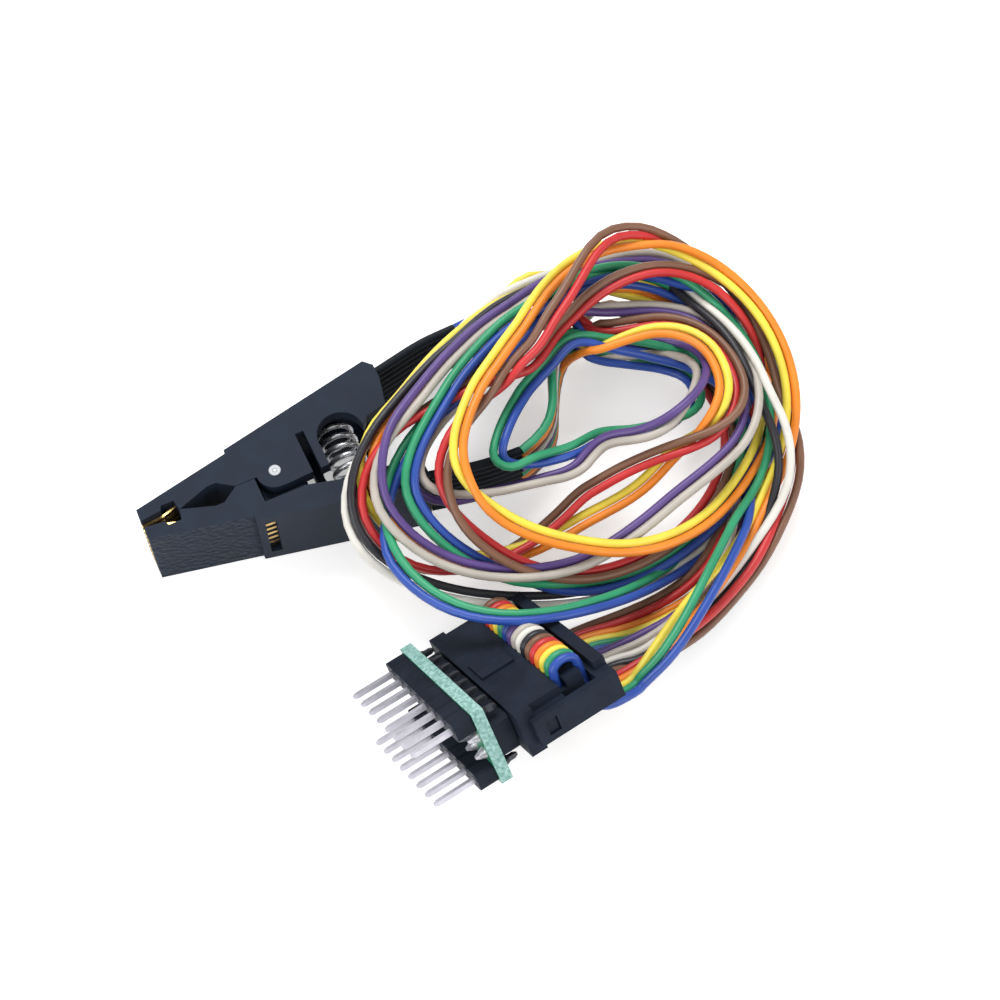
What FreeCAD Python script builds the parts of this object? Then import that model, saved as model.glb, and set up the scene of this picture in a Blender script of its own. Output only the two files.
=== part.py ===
# A clip that grips a 16-lead surface-mount chip and brings its leads out to a 16-pin plug.
# Two moulded levers turn on a steel pin under a coil spring. Each lever carries a row of eight contacts,
# whose tails are soldered to wires inside heat-shrink sleeves. The sixteen wires are one split rainbow
# ribbon, wound in a loose coil. The ribbon ends in a two-row socket, which is pushed on the
# header of a small adapter board with two rows of plug pins.
# The origin is where the pivot's axis meets the surface that the clip lies on. +X runs to the handles,
# +Y to the upper lever, +Z up along the pivot. Lengths are millimetres.
import FreeCAD
import Part
import math
import os

V = FreeCAD.Vector

# Contacts and wires
LEADS = 8                    # leads on each side of the chip
LEAD_PITCH = 1.27
WIRE_D = 1.12
WIRES = 2 * LEADS

# Levers
CLIP_T = 11.8                # thickness of the clip, along the pivot
JAW_REACH = 18.3             # pivot to the tip of the jaws
TIP_HALF = 2.25              # half height of the closed jaws at the tip
JAW_BACK = 4.9               # where the jaws end and the handles begin, before the pivot
JAW_BACK_HALF = 5.05
STEP_H = 0.55                # the handles stand this proud of the jaws
HANDLE_REACH = 17.9          # pivot to the end of the handles
HANDLE_END_HALF = 10.2
HANDLE_CHAMFER = 1.1
HANDLE_LIP = 3.05            # half gap between the handles' ends
OUTER_WALL = 3.2             # thickness of the handles' outer wall, which carries the contacts
SIDE_WALL = 1.7
PART_GAP = 0.08              # gap between the closed jaws
TIP_GAP = 0.5                # half gap at the tip, where the chip's leads go in
OPEN_MAX = 18.0              # how far the upper lever turns, in degrees

# Pocket and window between the jaws
POCKET_FRONT = 15.5
POCKET_BACK = 13.2
POCKET_HALF = 1.5
POCKET_MOUTH = 0.85          # half gap where the tip's gap meets the pocket
WINDOW_FRONT = 13.1
WINDOW_PEAK = 8.2
WINDOW_BACK = 5.5
WINDOW_HALF = 1.55

# Hinge
PIN_R = 0.8
PIN_SLIP = 0.05              # radial clearance of the turning lever on the pin
PIN_GRIP = 0.01              # radial clearance in the other lever, which the pin stays in
EAR_R = 2.5
EAR_T = 1.9                  # upper lever's ears, which lie outside
EAR_GAP = 0.15               # between an outer and an inner ear
INNER_EAR_T = 1.7
EAR_PLATE_FRONT = 1.2        # ends of the flat lower edge of the outer ears' plate
EAR_PLATE_BACK = 6.8
EAR_PLATE_LOW = 2.2
EAR_CLEAR = 0.35             # around an ear, in the pocket of the other lever
POCKET_CLEAR = 0.3           # between the ear's plate, at full opening, and the lower lever's side wall
SLOT_X = 5.0                 # slot in the upper lever's side walls
SLOT_W = 1.2
SLOT_TOP = 3.8

# Cross slot that shows the contacts
CROSS_X = -3.15
CROSS_W = 1.45
CROSS_DEPTH = 1.1

# Spring
SPRING_X = 9.9
SPRING_R = 2.3               # to the middle of its wire
SPRING_WIRE = 0.8
SPRING_TURNS = 6.5
SPRING_POST_R = 1.5
SPRING_POST_H = 1.6
SPRING_SEAT_GAP = 0.02
ARCH_CLEAR = 0.45            # between the spring and the arch in the upper lever's side walls
ARCH_TOP = 4.5

# Contacts
CONTACT_T = 0.32
CONTACT_W = 0.5
CHANNEL_CLEAR = 0.05
TAIL_END = 22.5              # how far back the contacts' tails reach

# Sleeves
SLEEVE_R = 0.62
SLEEVE_BORE_R = 0.36
TAIL_DEPTH = 1.55            # contacts' tails leave the handle's end this far inside its outer face
SLEEVE_START_Y = HANDLE_END_HALF - TAIL_DEPTH
SLEEVE_KNEE = (25.3, SLEEVE_START_Y + 1.55)
SLEEVE_END = (30.3, SLEEVE_START_Y + 1.75)
SLEEVE_GAP = 0.18            # between a sleeve and the handle's end

# Adapter board and plug, in their own frame: x away from the plug pins, y along the rows, z across them
BOARD_L = 21.0
BOARD_H = 10.7
BOARD_T = 1.6
ROW_PITCH = 2.54
PLUG_ROWS = 7.62             # distance between the two rows of plug pins
PIN_SQ = 0.64
PLUG_PIN_L = 5.7
BASE_W = 2.5
BASE_H = 2.54
BASE_NOTCH = 0.35
PLUG_TAIL = 2.0              # plug pins' solder tails past the board
HEADER_TAIL = 1.3            # socket header pins' solder tails
MATE_L = 6.0                 # socket header pins past their base
HOLE_CLEAR = 0.05            # around a pin in its hole in the board or a base
SOLDER_R = 0.8
SOLDER_H = 0.75
BOARD_HEADING = 8.3          # turn of the board about the vertical, in degrees
BOARD_ROLL = 38.0            # how far the board leans over, in degrees
BOARD_X = 6.5                # place of the middle of the board's front face
BOARD_Y = -40.0

# Socket on the ribbon
SOCKET_L = 24.9
SOCKET_H = 6.1
SOCKET_BODY_D = 6.6
SOCKET_GAP = 0.15            # between the header's base and the socket
CELL = 1.3                   # side of a contact cell in the socket
CELL_D = 6.2
RIBBON_T = 1.0
COVER_D = 2.2
COVER_L = 22.4
BAR_D = 2.3
BAR_L = 27.2
BAR_LEG_H = 3.7
FIT = 0.05                   # between pieces of the socket
KEY_RISE = 0.35              # of the key on the socket's face

# Coil of wire
COIL_X = 40.8
COIL_Y = -5.4
COIL_OUT = 31.0
HOLE_X = 45.8
HOLE_Y = -6.8
HOLE_LONG = 10.5             # half the length of the hole, along the ellipse's long axis
HOLE_WIDE = 6.0
HOLE_TURN = -25.4
COIL_H = 10.5
COIL_SECTIONS = 24
COIL_LIFT = CLIP_T + 0.7     # underside of the coil where it lies over the clip
COIL_LIFT_HALF = 72.0        # half the angle over which the coil is fully lifted, in degrees
COIL_DROP_HALF = 128.0       # half the angle outside which it lies on the surface
COIL_BEVEL = 2.6

# Free stretches of the wires
PAIRS = LEADS
LEAD_EXIT = 0.4              # where the folded ribbon ends, past the socket
TAIL_GAP = 0.12              # between a sleeve's end and the bare start of its wire
TUBE_REACH = 0.45            # share of the shorter run that an arc uses on each side of a corner

# Stations of the first and the last wire between the socket and the coil; the others lie between them
LEAD_STATIONS = (
    ((28.5, -33.0, 0.9), (29.5, -48.8, 11.3)),
    ((36.6, -31.0, 1.0), (38.2, -48.4, 9.2)),
    ((44.2, -26.2, 1.4), (51.4, -44.0, 7.2)),
    ((48.7, -16.4, 2.6), (61.4, -29.8, 4.4)),
)

# Stations of the lowest and the highest wire between the sleeves and the coil
UPPER_TAIL = (
    ((34.6, 10.8, 1.6), (34.6, 10.8, 10.6)),
    ((40.0, 12.6, 2.6), (40.0, 11.6, 11.3)),
    ((50.0, 18.8, 3.6), (50.0, 16.8, 12.0)),
)
LOWER_TAIL = (
    ((34.2, -9.4, 1.5), (34.2, -9.4, 10.3)),
    ((37.8, -6.4, 2.0), (37.8, -5.6, 10.9)),
    ((39.6, -1.8, 3.6), (40.6, -0.8, 12.0)),
    ((41.2, 5.2, 6.2), (45.2, 3.4, 13.4)),
)


def polygon(points):
    """Face in the XY plane through points."""
    corners = [V(x, y, 0) for x, y in points]
    return Part.Face(Part.makePolygon(corners + corners[:1]))


def slab(points, low, high):
    """Outline in the XY plane, raised from low to high."""
    return polygon(points).extrude(V(0, 0, high - low)).translated(V(0, 0, low))


def block(x0, x1, y0, y1, z0, z1):
    return Part.makeBox(x1 - x0, y1 - y0, z1 - z0, V(x0, y0, z0))


def pillar(x, y, r, low, high):
    return Part.makeCylinder(r, high - low, V(x, y, low))


def joined(shapes):
    return shapes[0].multiFuse(shapes[1:]).removeSplitter() if len(shapes) > 1 else shapes[0]


def without(shape, tools):
    return shape.cut(joined(tools)) if tools else shape


def mirrored(shape):
    """The same piece on the other side of the plane y = 0."""
    return shape.mirror(V(0, 0, 0), V(0, 1, 0))


def lead_z(i):
    """Height of contact i, counted from the bottom."""
    return CLIP_T / 2 + (i - (LEADS - 1) / 2) * LEAD_PITCH


def jaw_outer(x):
    """Outer face of the upper jaw."""
    share = (x + JAW_REACH) / (JAW_REACH - JAW_BACK)
    return TIP_HALF + share * (JAW_BACK_HALF - TIP_HALF)


def handle_outer(x):
    """Outer face of the upper handle."""
    front = JAW_BACK_HALF + STEP_H
    share = (x + JAW_BACK) / (HANDLE_REACH - HANDLE_CHAMFER + JAW_BACK)
    return front + share * (HANDLE_END_HALF - front)


HANDLE_TOP_X = HANDLE_REACH - HANDLE_CHAMFER
SEAT_Y = handle_outer(SPRING_X) - OUTER_WALL
CROSS_FLOOR = handle_outer(CROSS_X) - CROSS_DEPTH

# The line that each contact of the upper lever follows
CONTACT_LINE = [
    (-JAW_REACH - 0.05, 0.32),
    (-POCKET_FRONT, 0.6),
    (-POCKET_BACK, 1.35),
    (-JAW_BACK, CROSS_FLOOR - CONTACT_T / 2),
    (CROSS_X + CROSS_W / 2, CROSS_FLOOR),
    (HANDLE_REACH, SLEEVE_START_Y),
    (TAIL_END, SLEEVE_START_Y + (TAIL_END - HANDLE_REACH) * (SLEEVE_KNEE[1] - SLEEVE_START_Y)
     / (SLEEVE_KNEE[0] - HANDLE_REACH)),
]


def band(line, half):
    """Outline of a strip of that half thickness along a line in the XY plane."""
    sides = [[], []]
    for i, (x, y) in enumerate(line):
        before = line[max(i - 1, 0)]
        after = line[min(i + 1, len(line) - 1)]
        into = (V(x, y, 0) - V(before[0], before[1], 0)) if i else None
        out = (V(after[0], after[1], 0) - V(x, y, 0)) if i < len(line) - 1 else None
        directions = [d.normalize() for d in (into, out) if d is not None]
        along = sum(directions[1:], directions[0]).normalize()
        across = V(-along.y, along.x, 0) * (half / along.dot(directions[0]))
        sides[0].append((x + across.x, y + across.y))
        sides[1].append((x - across.x, y - across.y))
    return sides[0] + sides[1][::-1]


def contact(i):
    """One contact strip of the upper lever."""
    return slab(band(CONTACT_LINE, CONTACT_T / 2), lead_z(i) - CONTACT_W / 2, lead_z(i) + CONTACT_W / 2)


def channels():
    """What the contacts' channels take out of a lever."""
    outline = band(CONTACT_LINE, CONTACT_T / 2 + CHANNEL_CLEAR)
    half = CONTACT_W / 2 + CHANNEL_CLEAR
    return [slab(outline, lead_z(i) - half, lead_z(i) + half) for i in range(LEADS)]


def jaw_outline():
    """Side view of the upper jaw, with its pocket and its half of the window."""
    return [
        (-JAW_REACH, TIP_HALF),
        (-JAW_REACH, TIP_GAP),
        (-POCKET_FRONT, POCKET_MOUTH),
        (-POCKET_FRONT + 0.3, POCKET_HALF),
        (-POCKET_BACK - 0.3, POCKET_HALF),
        (-POCKET_BACK, PART_GAP / 2),
        (-WINDOW_FRONT, PART_GAP / 2),
        (-WINDOW_PEAK - 0.6, WINDOW_HALF),
        (-WINDOW_PEAK + 0.6, WINDOW_HALF),
        (-WINDOW_BACK, PART_GAP / 2),
        (-EAR_R - EAR_CLEAR, PART_GAP / 2),
        (-EAR_R - EAR_CLEAR, jaw_outer(-EAR_R - EAR_CLEAR)),
    ]


def handle_wall_outline():
    """Side view of the upper handle's outer wall."""
    return [
        (-JAW_BACK, handle_outer(-JAW_BACK)),
        (-JAW_BACK, handle_outer(-JAW_BACK) - OUTER_WALL),
        (HANDLE_TOP_X, handle_outer(HANDLE_TOP_X) - OUTER_WALL),
        (HANDLE_REACH, HANDLE_END_HALF - OUTER_WALL),
        (HANDLE_REACH, HANDLE_END_HALF - HANDLE_CHAMFER),
        (HANDLE_TOP_X, HANDLE_END_HALF),
    ]


def lever_body():
    """What both levers have: jaw, outer wall of the handle, spring post, cross slot and channels."""
    jaw = slab(jaw_outline(), 0, CLIP_T)
    wall = slab(handle_wall_outline(), 0, CLIP_T)
    post = Part.makeCylinder(SPRING_POST_R, SPRING_POST_H + OUTER_WALL / 2,
                             V(SPRING_X, SEAT_Y - SPRING_POST_H, CLIP_T / 2), V(0, 1, 0))
    seat = Part.makeCylinder(SPRING_R + SPRING_WIRE, OUTER_WALL,
                             V(SPRING_X, SEAT_Y - OUTER_WALL, CLIP_T / 2), V(0, 1, 0))
    body = without(joined([jaw, wall]), [seat])
    cross = block(CROSS_X - CROSS_W / 2, CROSS_X + CROSS_W / 2, CROSS_FLOOR, handle_outer(CROSS_X) + 1,
                  -1, CLIP_T + 1)
    return without(joined([body, post]), [cross] + channels())


def both_sides(outline, low, high):
    """The outline as a wall near the bottom face, and again near the top face."""
    return [slab(outline, low, high), slab(outline, CLIP_T - high, CLIP_T - low)]


def upper_side_outline():
    """Side wall of the upper handle, from the jaw to the handle's end, with the ear's plate."""
    lip = [(HANDLE_REACH, HANDLE_END_HALF - OUTER_WALL), (HANDLE_REACH - 0.9, HANDLE_LIP)]
    return [
        (-JAW_BACK, handle_outer(-JAW_BACK)),
        (-JAW_BACK, PART_GAP / 2),
        (-EAR_R, PART_GAP / 2),
        (-EAR_R, 0),
        (0, 0),
        (0, -EAR_R),
        (EAR_PLATE_FRONT, -EAR_R),
        (EAR_PLATE_BACK, -EAR_PLATE_LOW),
        (EAR_PLATE_BACK, 1.2),
        (SPRING_X + SPRING_R + SPRING_WIRE / 2 + ARCH_CLEAR, 1.2),
        (HANDLE_REACH - 4.0, 2.2),
    ] + lip[::-1] + [
        (HANDLE_REACH, HANDLE_END_HALF - HANDLE_CHAMFER),
        (HANDLE_TOP_X, HANDLE_END_HALF),
    ]


def arch_outline_tools(low, high):
    """The arch over the spring in a side wall."""
    half = SPRING_R + SPRING_WIRE / 2 + ARCH_CLEAR
    rise = ARCH_TOP - half
    return [
        block(SPRING_X - half, SPRING_X + half, -HANDLE_END_HALF, rise, low, high),
        pillar(SPRING_X, rise, half, low, high),
    ]


def upper_lever():
    walls = both_sides(upper_side_outline(), 0, EAR_T)
    ears = [pillar(0, 0, EAR_R, 0, EAR_T), pillar(0, 0, EAR_R, CLIP_T - EAR_T, CLIP_T)]
    slots = [
        block(SLOT_X - SLOT_W / 2, SLOT_X + SLOT_W / 2, -EAR_R - 1, SLOT_TOP, low, high)
        for low, high in ((-1, EAR_T + 0.01), (CLIP_T - EAR_T - 0.01, CLIP_T + 1))
    ]
    inner = pillar(0, 0, EAR_R + EAR_CLEAR, EAR_T, CLIP_T - EAR_T)
    arches = arch_outline_tools(-1, CLIP_T + 1)
    arches[0] = arches[0].common(block(EAR_PLATE_BACK + 0.01, HANDLE_REACH, -20, 20, -1, CLIP_T + 1))
    bore = pillar(0, 0, PIN_R + PIN_SLIP, -1, CLIP_T + 1)
    side = without(joined(walls + ears), slots + arches)
    trim = block(-EAR_R - EAR_CLEAR, SLOT_X, PART_GAP / 2, CROSS_FLOOR - 1.2, EAR_T, CLIP_T - EAR_T)
    return without(joined([without(lever_body(), [inner, trim]), side]), [bore] + channels())


def turned(x, y, degrees):
    """Point of the upper lever after it has opened by that angle."""
    a = math.radians(degrees)
    return x * math.cos(a) + y * math.sin(a), y * math.cos(a) - x * math.sin(a)


def pocket_edge(x):
    """How far from the plane y = 0 the lower side wall's edge lies, clear of the opened ear's plate."""
    front = turned(EAR_PLATE_FRONT, -EAR_R, OPEN_MAX)
    back = turned(EAR_PLATE_BACK, -EAR_PLATE_LOW, OPEN_MAX)
    slope = (back[1] - front[1]) / (back[0] - front[0])
    return POCKET_CLEAR - front[1] - slope * (x - front[0])


def lower_side_outline():
    """Side wall of the lower handle, drawn on the upper side of the plane y = 0."""
    start = EAR_R + EAR_CLEAR
    back = EAR_PLATE_BACK + POCKET_CLEAR
    return [
        (-JAW_BACK, handle_outer(-JAW_BACK)),
        (-JAW_BACK, PART_GAP / 2),
        (-start, PART_GAP / 2),
        (-start, pocket_edge(start)),
        (start, pocket_edge(start)),
        (back, pocket_edge(back)),
        (HANDLE_REACH - 0.6, HANDLE_END_HALF - OUTER_WALL - 0.8),
        (HANDLE_REACH, HANDLE_END_HALF - HANDLE_CHAMFER),
        (HANDLE_TOP_X, HANDLE_END_HALF),
    ]


def lower_lever():
    walls = both_sides(lower_side_outline(), 0, SIDE_WALL)
    low = EAR_T + EAR_GAP
    high = low + INNER_EAR_T
    plate = [(-EAR_R, 0), (EAR_R, 0), (EAR_R + 1.2, CROSS_FLOOR), (-EAR_R, CROSS_FLOOR)]
    ears = both_sides(plate, low, high) + [
        pillar(0, 0, EAR_R, low, high),
        pillar(0, 0, EAR_R, CLIP_T - high, CLIP_T - low),
    ]
    pocket = []
    for z0, z1 in ((-1, low), (CLIP_T - low, CLIP_T + 1)):
        half = EAR_R + EAR_CLEAR
        pocket.append(block(-half, half, -EAR_R, pocket_edge(half), z0, z1))
    middle = block(-EAR_R - EAR_CLEAR, SLOT_X, PART_GAP / 2, CROSS_FLOOR - 1.2, low, CLIP_T - low)
    bore = pillar(0, 0, PIN_R + PIN_GRIP, -1, CLIP_T + 1)
    body = joined([without(lever_body(), [middle])] + walls)
    return mirrored(without(joined([without(body, pocket)] + ears), [bore] + channels()))


def pivot_pin():
    return pillar(0, 0, PIN_R, 0, CLIP_T)


def lever_spring():
    """Coil spring between the seats of the two levers, round their posts."""
    length = 2 * (SEAT_Y - SPRING_SEAT_GAP)
    rise = length - SPRING_WIRE
    helix = Part.makeHelix(rise / SPRING_TURNS, rise, SPRING_R)
    start = V(SPRING_R, 0, 0)
    ring = Part.Wire(Part.makeCircle(SPRING_WIRE / 2, start, V(0, 1, rise / SPRING_TURNS
                                                               / (2 * math.pi * SPRING_R))))
    coil = Part.Wire(helix).makePipeShell([ring], True, True)
    coil.Placement = FreeCAD.Placement(V(SPRING_X, SEAT_Y - SPRING_SEAT_GAP - SPRING_WIRE / 2, CLIP_T / 2),
                                       FreeCAD.Rotation(V(1, 0, 0), 90))
    return coil


def rounded_path(points):
    """Straight runs through points, joined by tangent arcs as large as the runs allow. Also the radii."""
    edges = []
    radii = []
    here = points[0]
    for before, corner, after in zip(points, points[1:], points[2:]):
        into = (corner - before).normalize()
        out = (after - corner).normalize()
        turn = into.getAngle(out)
        reach = TUBE_REACH * min((corner - before).Length, (after - corner).Length)
        radius = reach / math.tan(turn / 2)
        radii.append(radius)
        start = corner - into * reach
        end = corner + out * reach
        inward = (out - into).normalize()
        middle = corner + inward * (radius / math.cos(turn / 2) - radius)
        edges.append(Part.LineSegment(here, start).toShape())
        edges.append(Part.Arc(start, middle, end).toShape())
        here = end
    edges.append(Part.LineSegment(here, points[-1]).toShape())
    return Part.Wire(edges), radii


def tube(points, radius):
    """Round tube along a rounded path."""
    path, radii = rounded_path(points)
    ring = Part.Wire(Part.makeCircle(radius, points[0], points[1] - points[0]))
    solid = path.makePipeShell([ring], True, False)
    expected = math.pi * radius ** 2 * path.Length
    if abs(solid.Volume - expected) > 0.02 * expected:
        print("tube volume", solid.Volume, "expected", expected)
    return solid, path.Length, radii


def sleeve(i):
    """Heat-shrink sleeve of contact i on the upper lever."""
    z = lead_z(i)
    start = V(HANDLE_REACH + SLEEVE_GAP, SLEEVE_START_Y, z)
    points = [start, V(SLEEVE_KNEE[0], SLEEVE_KNEE[1], z), V(SLEEVE_END[0], SLEEVE_END[1], z)]
    outer = tube(points, SLEEVE_R)[0]
    bore = tube(points, SLEEVE_BORE_R)[0]
    return outer.cut(bore)


def board_place():
    """Placement of the board's frame: it rests on the lower corner of the board."""
    roll = math.radians(BOARD_ROLL)
    height = BOARD_L / 2 * math.sin(roll) + BOARD_H / 2 * math.cos(roll)
    heading = FreeCAD.Rotation(V(0, 0, 1), BOARD_HEADING)
    lean = FreeCAD.Rotation(V(1, 0, 0), -BOARD_ROLL)
    return FreeCAD.Placement(V(BOARD_X, BOARD_Y, height), heading.multiply(lean))


def pin_y(i):
    return (i - (LEADS - 1) / 2) * ROW_PITCH


def square_bar(x0, x1, y, z, side):
    return block(x0, x1, y - side / 2, y + side / 2, z - side / 2, z + side / 2)


PLUG_Z = (PLUG_ROWS / 2, -PLUG_ROWS / 2)
SOCKET_Z = (ROW_PITCH / 2, -ROW_PITCH / 2)


def adapter_board():
    outline = Part.makeBox(BOARD_T, BOARD_L, BOARD_H, V(0, -BOARD_L / 2, -BOARD_H / 2))
    holes = [square_bar(-1, BOARD_T + 1, pin_y(i), z, PIN_SQ + 2 * HOLE_CLEAR)
             for z in PLUG_Z + SOCKET_Z for i in range(LEADS)]
    return without(outline, holes)


def header_base(rows, x0, x1):
    """Moulded base of a header: a bar with a notch between each two pins."""
    half = (max(rows) - min(rows)) / 2 + BASE_W / 2
    middle = (max(rows) + min(rows)) / 2
    long = LEADS * ROW_PITCH
    bar = block(x0, x1, -long / 2, long / 2, middle - half, middle + half)
    cuts = []
    for i in range(LEADS + 1):
        y = (i - LEADS / 2) * ROW_PITCH
        for side in (-1, 1):
            edge = middle + side * half
            diamond = [(y - BASE_NOTCH, edge), (y, edge - side * BASE_NOTCH), (y + BASE_NOTCH, edge),
                       (y, edge + side * BASE_NOTCH)]
            wire = Part.makePolygon([V(x0 - 1, a, b) for a, b in diamond + diamond[:1]])
            cuts.append(Part.Face(wire).extrude(V(x1 - x0 + 2, 0, 0)))
    holes = [square_bar(x0 - 1, x1 + 1, pin_y(i), z, PIN_SQ + 2 * HOLE_CLEAR)
             for z in rows for i in range(LEADS)]
    return without(bar, cuts + holes)


def pointed_bar(x0, x1, y, z):
    """Square pin with a short taper at both ends."""
    taper = 0.5
    tip = 0.34
    bar = square_bar(x0 + taper, x1 - taper, y, z, PIN_SQ)
    ends = []
    for base, point in ((x0 + taper, x0), (x1 - taper, x1)):
        wires = [Part.makePolygon([V(x, y + a * s / 2, z + b * s / 2)
                                   for a, b in ((-1, -1), (1, -1), (1, 1), (-1, 1), (-1, -1))])
                 for x, s in ((base, PIN_SQ), (point, tip))]
        ends.append(Part.makeLoft(wires, True, True))
    return joined([bar] + ends)


def plug_pins(z):
    return Part.makeCompound([pointed_bar(-BASE_H - PLUG_PIN_L, BOARD_T + PLUG_TAIL, pin_y(i), z)
                              for i in range(LEADS)])


def socket_header_pins():
    return Part.makeCompound([pointed_bar(-HEADER_TAIL, BOARD_T + BASE_H + MATE_L, pin_y(i), z)
                              for z in SOCKET_Z for i in range(LEADS)])


def solder_joint(x, direction, y, z):
    """Cone of solder round a pin's tail."""
    cone = Part.makeCone(SOLDER_R, PIN_SQ * 0.75, SOLDER_H, V(x, y, z), V(direction, 0, 0))
    return cone.cut(square_bar(x - 2, x + 2, y, z, PIN_SQ))


def solder_joints():
    cones = [solder_joint(BOARD_T, 1, pin_y(i), z) for z in PLUG_Z for i in range(LEADS)]
    cones += [solder_joint(0, -1, pin_y(i), z) for z in SOCKET_Z for i in range(LEADS)]
    return Part.makeCompound(cones)


SOCKET_X = BOARD_T + BASE_H + SOCKET_GAP
RIBBON_X = SOCKET_X + SOCKET_BODY_D
COVER_X = RIBBON_X + RIBBON_T + 2 * FIT
BAR_X = COVER_X + COVER_D + RIBBON_T + 2 * FIT


def socket_body():
    """Front half of the socket, with a cell for each contact and a hook at each end."""
    body = block(SOCKET_X, RIBBON_X, -SOCKET_L / 2, SOCKET_L / 2, -SOCKET_H / 2, SOCKET_H / 2)
    cells = [square_bar(SOCKET_X - 1, SOCKET_X + CELL_D, pin_y(i), z, CELL)
             for z in SOCKET_Z for i in range(LEADS)]
    waist = []
    for side in (-1, 1):
        y0, y1 = sorted((side * SOCKET_L / 2, side * (SOCKET_L / 2 - 0.9)))
        waist.append(block(SOCKET_X + 2.2, RIBBON_X + 1, y0, y1, -SOCKET_H, -BAR_LEG_H / 2 - FIT))
        waist.append(block(SOCKET_X + 2.2, RIBBON_X + 1, y0, y1, BAR_LEG_H / 2 + FIT, SOCKET_H))
    key = block(SOCKET_X + 0.8, RIBBON_X - 1.2, -2.1, 2.1, SOCKET_H / 2, SOCKET_H / 2 + KEY_RISE)
    hooks = []
    for side in (-1, 1):
        y0, y1 = sorted((side * SOCKET_L / 2, side * (SOCKET_L / 2 + 0.8)))
        hooks.append(block(SOCKET_X + 2.9, SOCKET_X + 4.3, y0, y1, -0.9, 0.9))
    return without(joined([body, key] + hooks), cells + waist)


def socket_cover():
    """Rear half of the socket, which presses the ribbon on the contacts."""
    cover = block(COVER_X, COVER_X + COVER_D, -COVER_L / 2, COVER_L / 2, -SOCKET_H / 2, SOCKET_H / 2)
    legs = []
    for side in (-1, 1):
        y0, y1 = sorted((side * (LEADS * ROW_PITCH / 2 + 0.2), side * COVER_L / 2))
        legs.append(block(RIBBON_X + FIT, COVER_X, y0, y1, -BAR_LEG_H / 2, BAR_LEG_H / 2))
    slots = [block(COVER_X - 0.1, COVER_X + 1.0, pin_y(i) - 0.45, pin_y(i) + 0.45, z - 0.45, z + 0.45)
             for z in SOCKET_Z for i in range(LEADS)]
    return without(joined([cover] + legs), slots)


def strain_relief():
    """Bar over the folded ribbon, with a legged latch at each end that hooks on the socket."""
    bar = block(BAR_X, BAR_X + BAR_D, -BAR_L / 2, BAR_L / 2, -BAR_LEG_H / 2, BAR_LEG_H / 2)
    deck = block(BAR_X + 0.7, BAR_X + BAR_D, -COVER_L / 2, COVER_L / 2, -SOCKET_H / 2, SOCKET_H / 2)
    legs = []
    windows = []
    for side in (-1, 1):
        y0, y1 = sorted((side * (SOCKET_L / 2 + FIT), side * BAR_L / 2))
        legs.append(block(SOCKET_X + 1.4, BAR_X + 0.1, y0, y1, -BAR_LEG_H / 2, BAR_LEG_H / 2))
        windows.append(block(SOCKET_X + 2.8, SOCKET_X + 4.4, y0 - 1, y1 + 1, -1.0, 1.0))
    return without(joined([bar, deck] + legs), windows)


def socket_contacts():
    """Forked contacts: two beams in each cell, and a blade that cuts into its wire."""
    found = []
    for z in SOCKET_Z:
        for i in range(LEADS):
            y = pin_y(i)
            back = block(SOCKET_X + CELL_D - 0.25, SOCKET_X + CELL_D - FIT, y - 0.5, y + 0.5, z - 0.3, z + 0.3)
            beams = [block(SOCKET_X + 0.6, SOCKET_X + CELL_D - 0.2, y + s * 0.48 - 0.1, y + s * 0.48 + 0.1,
                           z - 0.3, z + 0.3) for s in (-1, 1)]
            found.append(joined([back] + beams))
    return Part.makeCompound(found)


def ribbon_y(i):
    """Place of wire i across the ribbon."""
    return ((WIRES - 1) / 2 - i) * LEAD_PITCH


def ribbon_fold():
    """Ribbon through the socket, folded round the cover's edge and back under the strain relief."""
    first = RIBBON_X + FIT + RIBBON_T / 2
    second = COVER_X + COVER_D + FIT + RIBBON_T / 2
    half = SOCKET_H / 2
    span = (second - first) / 2
    path = [
        Part.LineSegment(V(first, 0, -half + 0.2), V(first, 0, half + 0.6)),
        Part.Arc(V(first, 0, half + 0.6), V(first + span, 0, half + 0.6 + span), V(second, 0, half + 0.6)),
        Part.LineSegment(V(second, 0, half + 0.6), V(second, 0, -half - 0.4)),
    ]
    wire = Part.Wire([e.toShape() for e in path])
    strands = []
    radius = RIBBON_T / 2
    for i in range(WIRES):
        centre = V(first, ribbon_y(i), -half + 0.2)
        ring = Part.Wire(Part.makeCircle(radius, centre, V(0, 0, 1)))
        strands.append(wire.translated(V(0, ribbon_y(i), 0)).makePipeShell([ring], True, False))
    web = []
    wide = (WIRES - 1) * LEAD_PITCH
    low = Part.Wire(Part.makePolygon([
        V(first - 0.15, -wide / 2, -half + 0.2), V(first + 0.15, -wide / 2, -half + 0.2),
        V(first + 0.15, wide / 2, -half + 0.2), V(first - 0.15, wide / 2, -half + 0.2),
        V(first - 0.15, -wide / 2, -half + 0.2)]))
    web.append(wire.makePipeShell([low], True, False))
    return joined(web + strands)


def coil_lift(angle):
    """Height of the coil's underside at an angle, in degrees, counted from +X."""
    away = abs((angle - 180 + 180) % 360 - 180)
    share = min(max((COIL_DROP_HALF - away) / (COIL_DROP_HALF - COIL_LIFT_HALF), 0), 1)
    return COIL_LIFT * share * share * (3 - 2 * share)


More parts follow.
